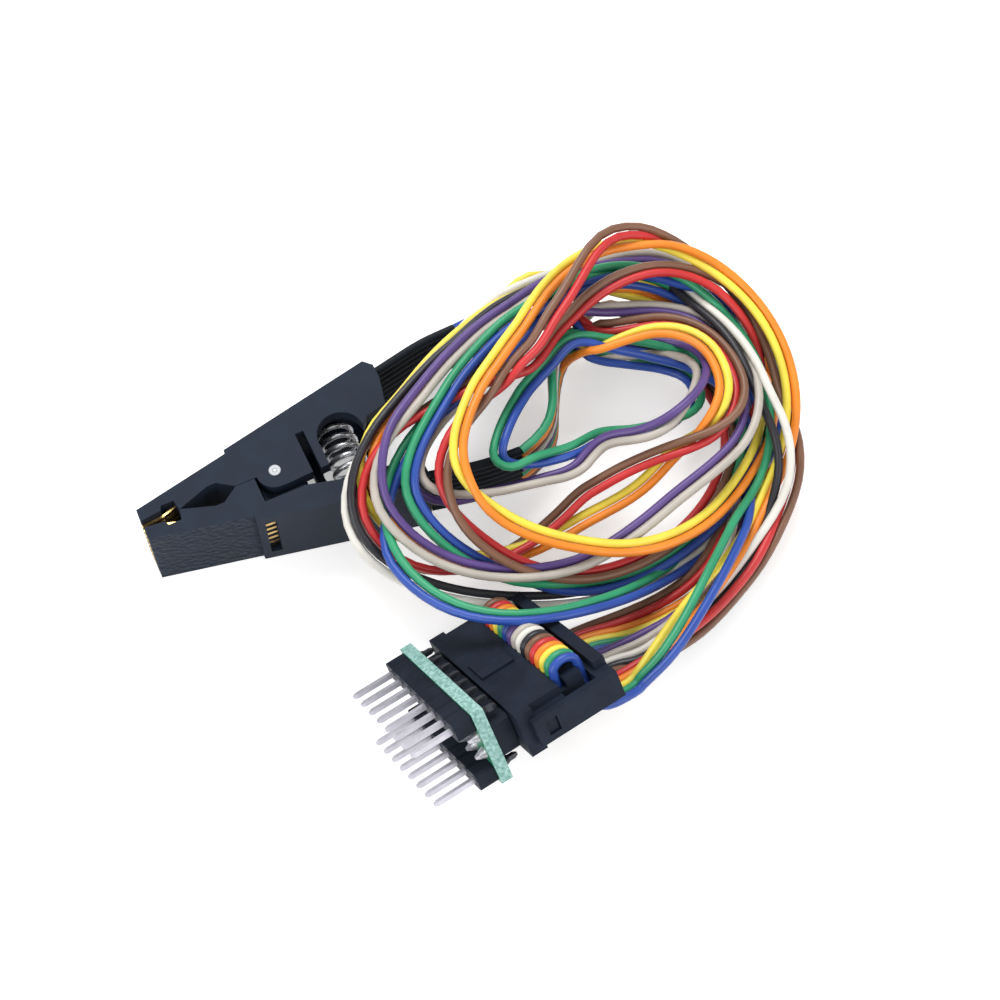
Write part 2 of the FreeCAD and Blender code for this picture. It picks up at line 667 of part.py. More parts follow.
def coil_section(k):
    """Bevelled section of the coil, on a line from the hole's edge to the outer edge."""
    angle = 360 * k / COIL_SECTIONS
    turn = math.radians(angle)
    tilt = math.radians(HOLE_TURN)
    a = HOLE_LONG * math.cos(turn - tilt)
    b = HOLE_WIDE * math.sin(turn - tilt)
    inner = V(HOLE_X + a * math.cos(tilt) - b * math.sin(tilt),
              HOLE_Y + a * math.sin(tilt) + b * math.cos(tilt), coil_lift(angle))
    outer = V(COIL_X + COIL_OUT * math.cos(turn), COIL_Y + COIL_OUT * math.sin(turn), coil_lift(angle))
    bevel = (outer - inner).normalize() * COIL_BEVEL
    rise = V(0, 0, COIL_BEVEL)
    top = V(0, 0, COIL_H)
    return [inner + bevel, outer - bevel, outer + rise, outer + top - rise,
            outer - bevel + top, inner + bevel + top, inner + top - rise, inner + rise]


def wire_coil():
    """Closed solid of the coil's outer shape, lifted where it lies over the clip."""
    rings = [coil_section(k) for k in range(COIL_SECTIONS)]
    faces = []
    for k in range(COIL_SECTIONS):
        one = rings[k]
        two = rings[(k + 1) % COIL_SECTIONS]
        for j in range(len(one)):
            a, b = one[j], one[(j + 1) % len(one)]
            c, d = two[(j + 1) % len(one)], two[j]
            for corners in ((a, b, c), (a, c, d)):
                if (corners[1] - corners[0]).cross(corners[2] - corners[0]).Length > 1e-6:
                    faces.append(Part.Face(Part.makePolygon(list(corners) + [corners[0]])))
    return Part.Solid(Part.Shell(faces))


def between(first, last, share):
    """Point at that share of the way from first to last."""
    return V(*[a + share * (b - a) for a, b in zip(first, last)])


def lead_route(i, place):
    """Points of wire i from the strain relief to the coil."""
    share = i / (WIRES - 1)
    second = COVER_X + COVER_D + FIT + RIBBON_T / 2
    below = -SOCKET_H / 2 - LEAD_EXIT
    y = ribbon_y(i)
    turn = [V(second, y, below), V(second + 1.3, y, below - 1.2), V(second + 4.2, y, below - 1.6)]
    return [place.multVec(point) for point in turn] + [between(*ends, share) for ends in LEAD_STATIONS]


def wire_pair(k, place):
    """The two wires of pair k, from the socket to the coil."""
    tubes = []
    for i in (2 * k, 2 * k + 1):
        solid, length, radii = tube(lead_route(i, place), WIRE_D / 2)
        print("wire", i + 1, "length", round(length, 1), "radii", [round(r, 1) for r in radii])
        tubes.append(solid)
    return Part.makeCompound(tubes)


def tails(side, stations):
    """Eight wires from the ends of a lever's sleeves to the coil."""
    tubes = []
    for i in range(LEADS):
        z = lead_z(i)
        start = V(SLEEVE_END[0], side * SLEEVE_END[1], z)
        last = V(SLEEVE_KNEE[0], side * SLEEVE_KNEE[1], z)
        start = start + (start - last).normalize() * TAIL_GAP
        share = i / (LEADS - 1)
        solid, length, radii = tube([start] + [between(*ends, share) for ends in stations], WIRE_D / 2)
        print("tail", i + 1, "length", round(length, 1), "radii", [round(r, 1) for r in radii])
        tubes.append(solid)
    return Part.makeCompound(tubes)


def main():
    os.makedirs("parts", exist_ok=True)
    parts = {
        "upper_lever": upper_lever(),
        "lower_lever": lower_lever(),
        "pivot_pin": pivot_pin(),
        "lever_spring": lever_spring(),
    }
    for i in range(LEADS):
        parts[f"upper_contact_{i + 1}"] = contact(i)
        parts[f"lower_contact_{i + 1}"] = mirrored(contact(i))
        parts[f"upper_sleeve_{i + 1}"] = sleeve(i)
        parts[f"lower_sleeve_{i + 1}"] = mirrored(sleeve(i))
    place = board_place()
    on_board = {
        "adapter_board": adapter_board(),
        "plug_base_1": header_base((PLUG_Z[0],), -BASE_H, 0),
        "plug_base_2": header_base((PLUG_Z[1],), -BASE_H, 0),
        "plug_pins_1": plug_pins(PLUG_Z[0]),
        "plug_pins_2": plug_pins(PLUG_Z[1]),
        "socket_header_base": header_base(SOCKET_Z, BOARD_T, BOARD_T + BASE_H),
        "socket_header_pins": socket_header_pins(),
        "solder_joints": solder_joints(),
        "socket_body": socket_body(),
        "socket_cover": socket_cover(),
        "strain_relief": strain_relief(),
        "socket_contacts": socket_contacts(),
        "ribbon_fold": ribbon_fold(),
    }
    for name, shape in on_board.items():
        shape.Placement = place
        parts[name] = shape
    for k in range(PAIRS):
        parts[f"wire_pair_{k + 1}"] = wire_pair(k, place)
    parts["upper_tails"] = tails(1, UPPER_TAIL)
    parts["lower_tails"] = tails(-1, LOWER_TAIL)
    parts["wire_coil"] = wire_coil()
    for name, shape in parts.items():
        solids = shape.Solids
        print(name, "solids", len(solids), "valid", shape.isValid(), "volume", round(shape.Volume, 2))
        shape.exportStep(f"parts/{name}.step")


main()
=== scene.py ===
# Dresses a sixteen-way test clip with its loom of coloured wires, its socket and its plug-in adapter.
# Metres, in the frame of the CAD model: +X from the jaw's tip to the handles, +Z along the pivot pin.

import math

import bpy
import numpy as np
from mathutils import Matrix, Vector
from mathutils.kdtree import KDTree


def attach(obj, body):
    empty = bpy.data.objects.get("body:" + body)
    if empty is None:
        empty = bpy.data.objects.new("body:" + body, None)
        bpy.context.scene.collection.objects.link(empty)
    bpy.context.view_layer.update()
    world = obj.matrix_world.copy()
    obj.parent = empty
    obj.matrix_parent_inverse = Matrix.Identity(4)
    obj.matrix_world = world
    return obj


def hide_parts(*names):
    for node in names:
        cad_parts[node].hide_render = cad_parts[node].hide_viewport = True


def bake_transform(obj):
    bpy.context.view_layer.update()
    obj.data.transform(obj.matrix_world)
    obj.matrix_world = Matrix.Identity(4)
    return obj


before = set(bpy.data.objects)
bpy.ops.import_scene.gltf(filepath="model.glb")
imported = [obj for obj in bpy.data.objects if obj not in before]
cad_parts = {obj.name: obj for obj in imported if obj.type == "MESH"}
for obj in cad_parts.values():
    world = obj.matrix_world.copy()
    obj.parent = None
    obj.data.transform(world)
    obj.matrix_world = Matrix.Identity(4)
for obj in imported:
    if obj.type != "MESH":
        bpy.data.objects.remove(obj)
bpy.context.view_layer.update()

MM = 0.001
WAYS = 16
PITCH = 1.27
WIRE_D = 1.16


# The socket's place: the adapter lies turned and rolled beside the clip

BOARD_AT = np.array([6.5, -40.0, 10.68])
HEADING = math.radians(8.3)
ROLL = math.radians(-38.0)
BOARD_X = np.array([math.cos(HEADING), math.sin(HEADING), 0])
BOARD_Y = np.array([
    -math.sin(HEADING) * math.cos(ROLL),
    math.cos(HEADING) * math.cos(ROLL),
    math.sin(ROLL),
])
BOARD_Z = np.cross(BOARD_X, BOARD_Y)


def on_board(x, y, z):
    return BOARD_AT + x * BOARD_X + y * BOARD_Y + z * BOARD_Z


# Materials

DETAIL = 3.0                 # of the noise in the fine textures


def new_material(name, color, roughness=0.5, metallic=0.0):
    material = bpy.data.materials.new(name)
    material.use_nodes = True
    shader = principled(material)
    shader.inputs["Base Color"].default_value = (*color, 1)
    shader.inputs["Roughness"].default_value = roughness
    shader.inputs["Metallic"].default_value = metallic
    return material


def add_node(material, kind, **values):
    node = material.node_tree.nodes.new(kind)
    for key, value in values.items():
        if hasattr(node, key):
            setattr(node, key, value)
        else:
            node.inputs[key.replace("_", " ")].default_value = value
    return node


def link(material, a, output, b, entry):
    material.node_tree.links.new(a.outputs[output], b.inputs[entry])


def object_point(material):
    return add_node(material, "ShaderNodeTexCoord")


def principled(material):
    return material.node_tree.nodes["Principled BSDF"]


def two_colors(material, color_a, color_b, start=0.0, end=1.0):
    ramp = add_node(material, "ShaderNodeValToRGB")
    ramp.color_ramp.elements[0].position = start
    ramp.color_ramp.elements[1].position = end
    ramp.color_ramp.elements[0].color = (*color_a, 1)
    ramp.color_ramp.elements[1].color = (*color_b, 1)
    return ramp


def grain(material, size, depth):
    """Adds a fine raised texture, its size in metres, to the material's surface."""
    place = object_point(material)
    noise = add_node(material, "ShaderNodeTexNoise", Scale=1.0 / size, Detail=DETAIL)
    bump = add_node(material, "ShaderNodeBump", Distance=depth, Strength=1.0)
    link(material, place, "Object", noise, "Vector")
    link(material, noise, "Fac", bump, "Height")
    link(material, bump, "Normal", principled(material), "Normal")
    return bump


def mottle(material, color_a, color_b, size, rough_a, rough_b):
    """Varies colour and roughness softly between two values over the surface."""
    shader = principled(material)
    place = object_point(material)
    noise = add_node(material, "ShaderNodeTexNoise", Scale=1.0 / size, Detail=2.0)
    ramp = two_colors(material, color_a, color_b, 0.35, 0.65)
    spread = add_node(material, "ShaderNodeMapRange", To_Min=rough_a, To_Max=rough_b)
    link(material, place, "Object", noise, "Vector")
    link(material, noise, "Fac", ramp, "Fac")
    link(material, noise, "Fac", spread, "Value")
    link(material, ramp, "Color", shader, "Base Color")
    link(material, spread, "Result", shader, "Roughness")


def wire_material(name, color):
    material = new_material("wire_" + name, color, 0.38)
    darker = tuple(0.86 * c for c in color)
    mottle(material, darker, color, 0.004, 0.34, 0.46)
    grain(material, 0.0006, 0.00002)
    principled(material).inputs["Specular IOR Level"].default_value = 0.45
    return material


WIRE_COLORS = {
    "brown": (0.20, 0.095, 0.055),
    "red": (0.56, 0.028, 0.03),
    "orange": (0.86, 0.25, 0.02),
    "yellow": (0.86, 0.70, 0.07),
    "green": (0.025, 0.30, 0.14),
    "blue": (0.02, 0.07, 0.36),
    "violet": (0.10, 0.055, 0.22),
    "gray": (0.46, 0.42, 0.37),
    "white": (0.72, 0.70, 0.64),
    "black": (0.018, 0.018, 0.024),
}
ORDER = ["brown", "red", "orange", "yellow", "green", "blue", "violet", "gray", "white", "black"]
ORDER = (ORDER + ORDER)[:WAYS]
wire_materials = {name: wire_material(name, color) for name, color in WIRE_COLORS.items()}

def plastic(name, dark, light, rough_a, rough_b, grain_size, grain_depth):
    material = new_material(name, dark, rough_a)
    principled(material).inputs["Specular IOR Level"].default_value = 0.14
    mottle(material, dark, light, 0.003, rough_a, rough_b)
    grain(material, grain_size, grain_depth)
    return material


def metal(name, dark, light, size, rough_a, rough_b, metallic, grain_size, grain_depth):
    material = new_material(name, light, rough_a, metallic)
    mottle(material, dark, light, size, rough_a, rough_b)
    grain(material, grain_size, grain_depth)
    return material


def facing(material, direction, low, high):
    """1 where the surface looks along the direction, 0 where it looks elsewhere."""
    geometry = add_node(material, "ShaderNodeNewGeometry")
    dot = add_node(material, "ShaderNodeVectorMath", operation="DOT_PRODUCT")
    dot.inputs[1].default_value = direction
    link(material, geometry, "True Normal", dot, 0)
    step = add_node(material, "ShaderNodeMapRange", From_Min=low, From_Max=high)
    link(material, dot, "Value", step, "Value")
    return step


def mixed(material, share, output, low, high):
    """Base colour that goes from the low node's colour to the high one's."""
    mix = add_node(material, "ShaderNodeMix", data_type="RGBA")
    link(material, share, output, mix, 0)
    link(material, low, "Color", mix, 6)
    link(material, high, "Color", mix, 7)
    link(material, mix, 2, principled(material), "Base Color")


def skinned_plastic(name):
    """The levers' plastic with a coarse leathery skin on the lower jaw's outer face."""
    material = lever_plastic(name)
    fine = principled(material).inputs["Normal"].links[0].from_node
    place = object_point(material)
    cells = add_node(material, "ShaderNodeTexVoronoi", Scale=SKIN_SCALE)
    link(material, place, "Object", cells, "Vector")
    split = add_node(material, "ShaderNodeSeparateXYZ")
    link(material, place, "Object", split, "Vector")
    on_jaw = add_node(material, "ShaderNodeMapRange", From_Min=JAW_FROM, From_Max=JAW_FROM - 0.001)
    link(material, split, "X", on_jaw, "Value")
    outer = facing(material, (0, -1, 0), 0.75, 0.85)
    both = add_node(material, "ShaderNodeMath", operation="MULTIPLY")
    link(material, on_jaw, "Result", both, 0)
    link(material, outer, "Result", both, 1)
    height = add_node(material, "ShaderNodeMath", operation="MULTIPLY")
    link(material, cells, "Distance", height, 0)
    link(material, both, "Value", height, 1)
    skin = add_node(material, "ShaderNodeBump", Distance=SKIN_DEPTH, Strength=1.0)
    link(material, height, "Value", skin, "Height")
    link(material, fine, "Normal", skin, "Normal")
    link(material, skin, "Normal", principled(material), "Normal")
    return material


def steel_with_painted_dimple(name):
    """Steel with a dimple and a ring round the pivot's axis painted into its colour: painted shade and
    painted highlight in bands, not relief.
    """
    material = new_material(name, (0.40, 0.41, 0.43), 0.5, 0.25)
    place = object_point(material)
    flat = add_node(material, "ShaderNodeVectorMath", operation="MULTIPLY")
    flat.inputs[1].default_value = (1, 1, 0)
    link(material, place, "Object", flat, 0)
    distance = add_node(material, "ShaderNodeVectorMath", operation="LENGTH")
    link(material, flat, "Vector", distance, 0)
    ring = add_node(material, "ShaderNodeMapRange", From_Min=0.0, From_Max=PIN_R)
    link(material, distance, "Value", ring, "Value")
    # Painted shade and painted highlight: a light centre and dark bands at the dimple's edge and at the rim
    # stand in for the relief.
    painted_dimple_shade = two_colors(material, (0.62, 0.63, 0.66), (0.12, 0.125, 0.14))
    painted_dimple_shade.color_ramp.elements.new(0.2).color = (0.5, 0.51, 0.54, 1)
    painted_dimple_shade.color_ramp.elements.new(0.34).color = (0.16, 0.165, 0.18, 1)
    painted_dimple_shade.color_ramp.elements.new(0.5).color = (0.4, 0.41, 0.43, 1)
    painted_dimple_shade.color_ramp.elements.new(0.86).color = (0.36, 0.37, 0.39, 1)
    link(material, ring, "Result", painted_dimple_shade, "Fac")
    link(material, painted_dimple_shade, "Color", principled(material), "Base Color")
    grain(material, 0.0004, 0.00001)
    return material


def tin_with_painted_shade(name, dark, light, tail, grain_depth):
    """Bright before the board, and painted dark on the socket's side of it: painted shade where the pins and
    solder sit between the board and the socket.
    """
    material = new_material(name, light, 0.36, 0.7)
    place = object_point(material)
    along = add_node(material, "ShaderNodeVectorMath", operation="DOT_PRODUCT")
    along.inputs[1].default_value = BOARD_FACE
    link(material, place, "Object", along, 0)
    painted_shade_side = add_node(material, "ShaderNodeMapRange", From_Min=PAINTED_SHADE_FROM, From_Max=PAINTED_SHADE_FROM + 0.0001)
    link(material, along, "Value", painted_shade_side, "Value")
    patches = add_node(material, "ShaderNodeTexNoise", Scale=700.0, Detail=2.0)
    link(material, place, "Object", patches, "Vector")
    ramp = two_colors(material, dark, light)
    link(material, patches, "Fac", ramp, "Fac")
    # Painted shade: one flat dark colour for the tails and solder between the board and the socket.
    painted_tail_shade = add_node(material, "ShaderNodeRGB")
    painted_tail_shade.outputs["Color"].default_value = (*tail, 1)
    mixed(material, painted_shade_side, "Result", ramp, painted_tail_shade)
    rough = add_node(material, "ShaderNodeMapRange", To_Min=0.28, To_Max=0.46)
    link(material, patches, "Fac", rough, "Value")
    link(material, rough, "Result", principled(material), "Roughness")
    grain(material, 0.0004, grain_depth)
    return material


def laminate(name):
    """Green on the board's two faces, and bare pale laminate on its edges."""
    material = new_material(name, (0.012, 0.16, 0.045), 0.3)
    place = object_point(material)
    weave = add_node(material, "ShaderNodeTexNoise", Scale=2400.0, Detail=DETAIL)
    link(material, place, "Object", weave, "Vector")
    faces = two_colors(material, (0.010, 0.15, 0.07), (0.03, 0.24, 0.12))
    edges = two_colors(material, (0.13, 0.30, 0.26), (0.36, 0.58, 0.54), 0.34, 0.66)
    link(material, weave, "Fac", faces, "Fac")
    link(material, weave, "Fac", edges, "Fac")
    front = facing(material, BOARD_FACE, 0.6, 0.8)
    back = facing(material, tuple(-v for v in BOARD_FACE), 0.6, 0.8)
    either = add_node(material, "ShaderNodeMath", operation="MAXIMUM")
    link(material, front, "Result", either, 0)
    link(material, back, "Result", either, 1)
    mixed(material, either, "Value", edges, faces)
    grain(material, 0.0005, 0.00001)
    return material


def lever_plastic(name):
    return plastic(name, (0.010, 0.016, 0.029), (0.014, 0.022, 0.038), 0.5, 0.66, 0.00035, 0.00003)


SKIN_SCALE = 1250.0
SKIN_DEPTH = 0.00022
JAW_FROM = -0.0045
PIN_R = 0.0008
# Where the painted shade on the pins and solder begins, measured along the board's x.
PAINTED_SHADE_FROM = 0.0022
BOARD_FACE = tuple(BOARD_X)

nylon = lever_plastic("lever_plastic")
sleeve_black = plastic(
    "sleeve", (0.006, 0.0085, 0.013), (0.010, 0.014, 0.020), 0.5, 0.66, 0.0003, 0.00001)
header_plastic = plastic(
    "header_plastic", (0.006, 0.009, 0.017), (0.011, 0.016, 0.028), 0.42, 0.58, 0.0002, 0.00001)
socket_plastic = plastic(
    "socket_plastic", (0.009, 0.0135, 0.024), (0.013, 0.020, 0.035), 0.48, 0.62, 0.0003, 0.00003)
skinned = skinned_plastic("lever_plastic_skinned")
# The pin's steel carries painted shade and painted highlight for its dimple and ring.
pin_steel = steel_with_painted_dimple("pin_steel")
spring_steel = metal(
    "spring_steel", (0.52, 0.53, 0.56), (0.74, 0.75, 0.78), 0.001, 0.18, 0.34, 0.85, 0.0005, 0.00001)
contact_gold = metal(
    "contact_gold", (0.70, 0.46, 0.16), (0.84, 0.60, 0.25), 0.001, 0.24, 0.4, 1.0, 0.0003, 0.00001)
# The last colour of each is painted shade for the part between the board and the socket.
pin_tin = tin_with_painted_shade(
    "pin_tin", (0.56, 0.55, 0.62), (0.74, 0.73, 0.80), (0.07, 0.078, 0.09), 0.00001)
solder = tin_with_painted_shade(
    "solder", (0.32, 0.33, 0.35), (0.62, 0.63, 0.66), (0.035, 0.04, 0.048), 0.00006)
board_green = laminate("board")

FINISHES = {
    "lever_plastic": nylon,
    "pin_steel": pin_steel,
    "spring_steel": spring_steel,
    "contact_gold": contact_gold,
    "sleeve": sleeve_black,
    "board": board_green,
    "header_plastic": header_plastic,
    "socket_plastic": socket_plastic,
    "pin_tin": pin_tin,
    "solder": solder,
}
for finish, material in FINISHES.items():
    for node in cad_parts.values():
        for place in node.material_slots:
            if place.material and place.material.name.split(".")[0] == finish:
                place.material = material
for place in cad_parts["lower_lever"].material_slots:
    place.material = skinned


# The photograph's view, and the loom's flat polar map seen from it

CAMERA = np.array([-25.62, -121.95, 241.0])
MAP_CENTRE = np.array([40.80, -5.0])
MAP_RIGHT = np.array([0.9032, -0.4292])
MAP_AWAY = np.array([0.4292, 0.9032])
MAP_HEIGHT = 8.0


def on_map(angle, radius, height):
    """The point at this height that the camera sees at the map's angle and radius."""
    a = math.radians(angle)
    flat = MAP_CENTRE + radius * (math.cos(a) * MAP_RIGHT + math.sin(a) * MAP_AWAY)
    seen = np.array([flat[0], flat[1], MAP_HEIGHT])
    share = (CAMERA[2] - height) / (CAMERA[2] - MAP_HEIGHT)
    return CAMERA + (seen - CAMERA) * share


# Each pair's way round the loom: angle, radius, height and lie.
# Lie is the turn of the pair about its own line: 0 has the even wire outside, 180 inside.

PAIRS = [
    # brown and red
    [
        (-30, 24, 3, 60), (-10, 24.8, 4, 0), (5, 26.8, 6, 0), (30, 27.6, 11, 0), (45, 27.0, 13, 0),
        (60, 24.2, 14.5, 0), (75, 18.6, 15, 30), (90, 13, 15, 60), (105, 10.2, 15, 60),
        (120, 8.2, 15.2, 60), (150, 8.6, 15.2, 20), (180, 16.5, 15, -40), (195, 26.3, 14.6, -80),
        (210, 32.6, 12.5, -90), (225, 33.8, 8, -90), (238, 31.2, 4, -110), (250, 25, 4, -150),
        (262, 19, 5.5, -180), (270, 15.4, 6.8, -180), (285, 13.4, 8, -180), (300, 12.8, 9, -180),
        (315, 13.4, 10, -180), (330, 15.5, 11, -190), (345, 20, 12, -260), (360, 22.8, 12.5, -350),
        (375, 22.6, 12, -360), (390, 21.1, 11, -360), (405, 17.5, 10.5, -360), (420, 12.6, 10, -360),
        (435, 11.5, 9.5, -360),
    ],
    # orange and yellow
    [
        (-30, 27.5, 2.5, 0), (0, 27, 3.5, 0), (30, 24.5, 5, 0), (60, 20.4, 8, 180),
        (75, 18.6, 10, 180), (90, 17.8, 11.5, 180), (120, 17.6, 13.6, 180), (150, 17.9, 14, 180),
        (180, 22, 14, 180), (195, 28, 14, 180), (210, 31.2, 12.2, 180), (225, 31, 7, 90),
        (240, 28.4, 4, 0), (255, 23.5, 4, 0), (270, 19, 5, 0), (285, 17, 6, 0), (300, 16.2, 7, 0),
        (315, 15.6, 8.5, 0), (330, 15.8, 10, 0), (345, 18, 12, 90), (360, 20.4, 13.6, 180),
        (375, 20.7, 14, 180), (390, 19.6, 14, 180), (405, 15.5, 13.6, 150), (420, 9.6, 13, 120),
        (435, 8, 12, 90),
    ],
    # green and blue
    [
        (-30, 26.2, 3.5, 0), (0, 25.2, 4.5, 0), (30, 23.4, 7, 0), (60, 21.6, 9.5, 0),
        (75, 20, 11.5, 0), (90, 17.4, 13.6, 0), (105, 15.7, 15, 0), (120, 14.9, 15.8, 0),
        (150, 14.6, 16.4, 0), (180, 17.2, 16.4, 0), (195, 20.5, 16, 0), (210, 25.4, 15, 0),
        (225, 27, 12, 0), (240, 27.4, 9.5, 0), (255, 28, 8, 0), (270, 28.2, 6.5, 180),
        (285, 27.7, 5.4, 180), (300, 26.8, 4.6, 180), (315, 26, 4, 180), (330, 25.2, 4, 180),
        (345, 24, 4.4, 180), (360, 22, 5.4, 90), (375, 18.5, 7.5, 0), (390, 14.2, 9.5, 0),
        (405, 11.5, 11, 0), (420, 9.8, 12, 0), (435, 9.4, 12.8, 0), (450, 8.9, 13.2, 0),
        (465, 7.4, 13.2, 0), (480, 6.2, 13, 0), (510, 5.9, 12.8, 0), (540, 7, 12.7, 0),
        (555, 8.3, 12.6, 0), (570, 10.6, 12.6, 0), (580, 13.2, 12.4, 0), (587, 14.9, 11, 20),
        (594, 14.6, 9.4, 60), (602, 12.6, 8.6, 120), (615, 10.2, 8.2, 180), (630, 8.6, 8.2, 180),
        (645, 7.4, 8, 180), (660, 7, 7.6, 180), (675, 8, 7.2, 180), (690, 10.5, 7, 180),
        (705, 14, 7, 90), (720, 17, 7, 0), (735, 16, 6.6, 0), (750, 11.5, 6.5, 0),
        (765, 9, 7, 0), (780, 7.6, 7.5, 0), (795, 7.6, 8, 0),
    ],
    # violet and gray
    [
        (-30, 25.5, 2, 0), (0, 24.4, 3.2, 0), (30, 25.6, 6.5, 180), (60, 25.8, 9.5, 180),
        (75, 22.6, 11, 180), (90, 19.4, 12.6, 90), (105, 17.4, 14.6, 0), (120, 16.2, 15.2, 0),
        (150, 16.9, 16, 0), (165, 18.4, 16.5, 0), (180, 20.9, 16.8, 0), (195, 26, 16.5, 90),
        (210, 29.9, 15, 180), (225, 30.3, 12.5, 180), (240, 29.2, 10.5, 180), (255, 27, 9.5, 180),
        (270, 24.9, 9.3, 180), (285, 22.2, 9.5, 180), (300, 20.5, 10, 180), (315, 20, 10.8, 180),
        (330, 21.2, 11.5, 180), (345, 23.3, 12, 180), (360, 24.2, 12, 180), (375, 24, 11.5, 180),
        (390, 22.8, 10.4, 180), (405, 20.3, 10, 180), (420, 16.6, 10, 180), (435, 14.6, 10.6, 180),
        (450, 13.6, 12, 90), (480, 12.6, 13.4, 0), (510, 12.6, 13.6, 0), (540, 15.8, 13.7, 0),
        (555, 20, 13.6, 0), (566, 23.6, 13.2, 0), (576, 25.2, 11.5, 0), (584, 23.6, 9.6, 60),
        (592, 19.4, 8.6, 120), (602, 15.8, 8.6, 180), (615, 13, 9, 180), (630, 11.4, 9.4, 180),
        (645, 8.8, 10, 180), (660, 7.9, 11, 180), (675, 8.6, 12.2, 180), (690, 11, 13.5, 180),
        (705, 13.5, 14.4, 120), (720, 15.9, 14.6, 60), (732, 18.2, 13, 0), (742, 18, 10.4, 0),
        (752, 15, 8.8, 0), (766, 11, 7.6, 0), (780, 8.6, 7, 0), (795, 8.4, 7, 0),
    ],
    # white and black
    [
        (-30, 30.7, 6, 0), (-15, 29, 9, 0), (0, 25.6, 11.5, 0), (15, 24.3, 12, 0),
        (30, 23.2, 11.4, 0), (45, 22.4, 9.5, 0), (60, 23.6, 8, 0), (75, 22.4, 9.5, 0),
        (90, 20, 11.8, 0), (105, 18.6, 13, 0), (120, 18.2, 13.6, 0), (150, 18.3, 14.4, -40),
        (165, 19.9, 14.6, -70), (180, 22.8, 14.8, -80), (195, 28.7, 14.4, -70), (207, 33.8, 13, -55),
        (217, 35.7, 11, -40), (225, 35.6, 8.8, -30), (240, 33.4, 6.5, -15), (255, 31, 5.6, 0),
        (270, 29.5, 5, 0), (285, 28.4, 4.4, 0), (300, 27.2, 3.5, 0), (330, 26, 2.4, 0),
        (345, 25, 2.4, 0), (360, 23.6, 3, 0), (375, 21, 3.6, 0), (390, 18.5, 4.5, 0),
        (405, 16.8, 5.2, 0), (420, 15.8, 6, 0), (435, 15.6, 6.6, 0),
    ],
    # second brown and red
    [
        (-30, 31.9, 5, 0), (-15, 30.6, 6.5, 0), (0, 28.3, 8, 180), (30, 28.7, 10.4, 180),
        (60, 28.9, 14, 90), (72, 28.9, 17.5, 0), (79, 27.8, 19, 0), (84, 23.4, 19.4, 0),
        (90, 17.4, 19.6, 0), (105, 12.4, 19.2, 0), (120, 9.8, 18.6, 0), (150, 9.3, 17.8, 0),
        (165, 9.8, 17.4, 60), (180, 11.4, 17, 120), (195, 15.4, 16.4, 180), (210, 20.1, 15.5, 180),
        (225, 23, 13.6, 90), (240, 24.6, 11.6, 0), (255, 26, 9.6, 0), (270, 26.6, 7.8, 0),
        (285, 26, 6.5, 0), (300, 25, 5.5, 0), (315, 24, 4.8, 0), (330, 23, 4.4, 0),
        (345, 21.8, 4.2, 0), (360, 19.4, 4.2, 0), (375, 17, 5, 0), (390, 14.6, 6, 0),
        (405, 12.8, 7, 0), (420, 11.2, 8, 0), (435, 11.4, 8.6, 0),
    ],
    # second orange and yellow
    [
        (-30, 29, 5, 0), (0, 29.4, 9, 0), (30, 29.2, 12, 0), (60, 28, 15, 90), (72, 26.2, 16, 180),
        (81, 24.2, 16.6, 180), (90, 21.4, 17, 180), (105, 16.8, 18, 180), (120, 13.5, 18.5, 180),
        (150, 12, 19, 180), (180, 13.6, 19, 180), (195, 15.4, 18.8, 180), (210, 17.8, 18, 180),
        (225, 19.2, 16.5, 90), (240, 20.2, 15, 0), (270, 21.8, 12.4, 0), (285, 23.4, 10.6, 0),
        (300, 24.6, 9, 0), (315, 25.2, 7.4, 0), (330, 25.3, 6, 0), (345, 26, 5, 0),
        (360, 26.2, 4.2, 0), (375, 24.6, 4.4, 0), (390, 22, 5.4, 0), (405, 20.4, 6.8, 0),
        (420, 19.2, 8, 0), (435, 18.6, 9, 0),
    ],
    # second green and blue
    [
        (-30, 27.1, 5, 0), (0, 27.3, 7.6, 180), (30, 25.8, 9.6, 180), (60, 22.6, 11, 0),
        (75, 20.7, 12, 0), (90, 18, 13, 0), (105, 15, 14, 0), (120, 12.4, 14.6, 0),
        (150, 11.4, 14.8, 0), (165, 12.8, 14.8, 0), (180, 15.6, 14.4, 0), (195, 21.4, 14, 0),
        (207, 26.8, 13.6, 0), (216, 31, 12.6, 90), (225, 33.8, 12.2, 180), (240, 35.0, 12.8, 180),
        (250, 34.5, 13.8, 180), (260, 33.0, 13.8, 180), (272, 31.0, 12, 180), (286, 29.3, 7.4, 180),
        (300, 28, 3.6, 180), (315, 27, 2, 180), (330, 25.4, 2, 180), (345, 23.4, 3, 180),
        (360, 21.4, 4.6, 180), (375, 18, 5.8, 90), (390, 13.6, 6.8, 0), (405, 11, 7.2, 0),
        (420, 9.6, 7.6, 0), (435, 9.6, 8, 0),
    ],
]
STEP = 10.0


def smooth_value(stations, column, angle):
    """A rounded reading between the stations of one pair's table."""
    k = 0
    while k < len(stations) - 2 and stations[k + 1][0] <= angle:
        k += 1
    a = stations[max(k - 1, 0)]
    b = stations[k]
    c = stations[k + 1]
    d = stations[min(k + 2, len(stations) - 1)]
    span = c[0] - b[0]
    t = (angle - b[0]) / span
    rise_b = (c[column] - a[column]) / (c[0] - a[0]) * span
    rise_c = (d[column] - b[column]) / (d[0] - b[0]) * span
    t2 = t * t
    t3 = t2 * t
    return (
        (2 * t3 - 3 * t2 + 1) * b[column]
        + (t3 - 2 * t2 + t) * rise_b
        + (3 * t2 - 2 * t3) * c[column]
        + (t3 - t2) * rise_c
    )


